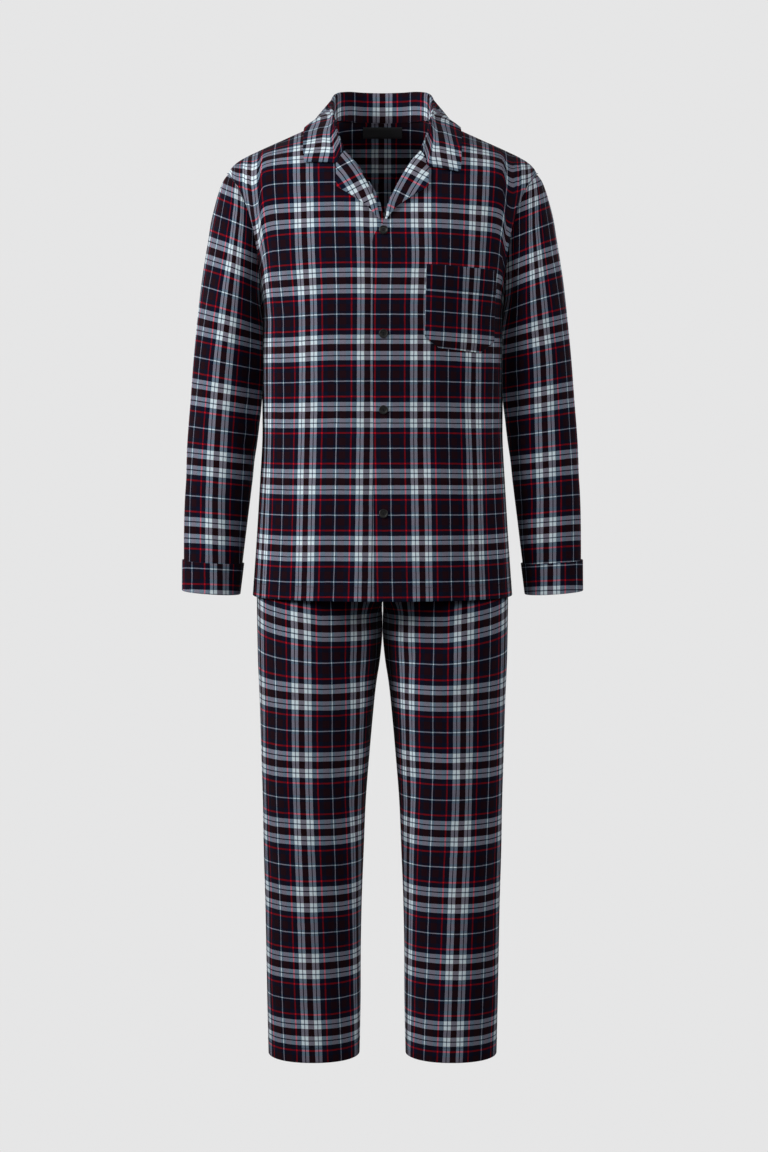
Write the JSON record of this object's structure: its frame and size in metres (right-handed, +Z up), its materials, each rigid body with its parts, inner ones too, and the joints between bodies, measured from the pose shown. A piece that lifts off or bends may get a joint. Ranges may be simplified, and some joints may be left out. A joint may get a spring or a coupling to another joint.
{
  "type": "pyjama set",
  "caption": "Checked pyjama set, filled out as if worn: a buttoned jacket with notched collar, chest pocket and turned cuffs, over straight trousers with an elastic waist.",
  "frame": {"origin": "on the centre line between the two neck points, where collar, front and back meet on each shoulder", "axes": "+Z up along the body, +Y towards the garment's back, +X towards the wearer's left"},
  "size_m": [0.6206, 0.279, 1.5045],
  "materials": {
    "check_cloth": "brushed cotton, matt, soft nap",
    "label_cloth": "woven satin label, plain black",
    "button_resin": "polished black resin"
  },
  "bodies": {
    "root": {"front_left": "check_cloth", "front_right": "check_cloth", "back": "check_cloth", "sleeve_left": "check_cloth", "sleeve_right": "check_cloth", "cuff_left": "check_cloth", "cuff_right": "check_cloth", "collar": "check_cloth", "lapel_left": "check_cloth", "lapel_right": "check_cloth", "chest_pocket": "check_cloth", "leg_front_left": "check_cloth", "leg_front_right": "check_cloth", "leg_back_left": "check_cloth", "leg_back_right": "check_cloth", "waistband": "check_cloth", "neck_label": "label_cloth", "button_1": "button_resin", "button_2": "button_resin", "button_3": "button_resin", "button_4": "button_resin"}
  },
  "joints": []
}
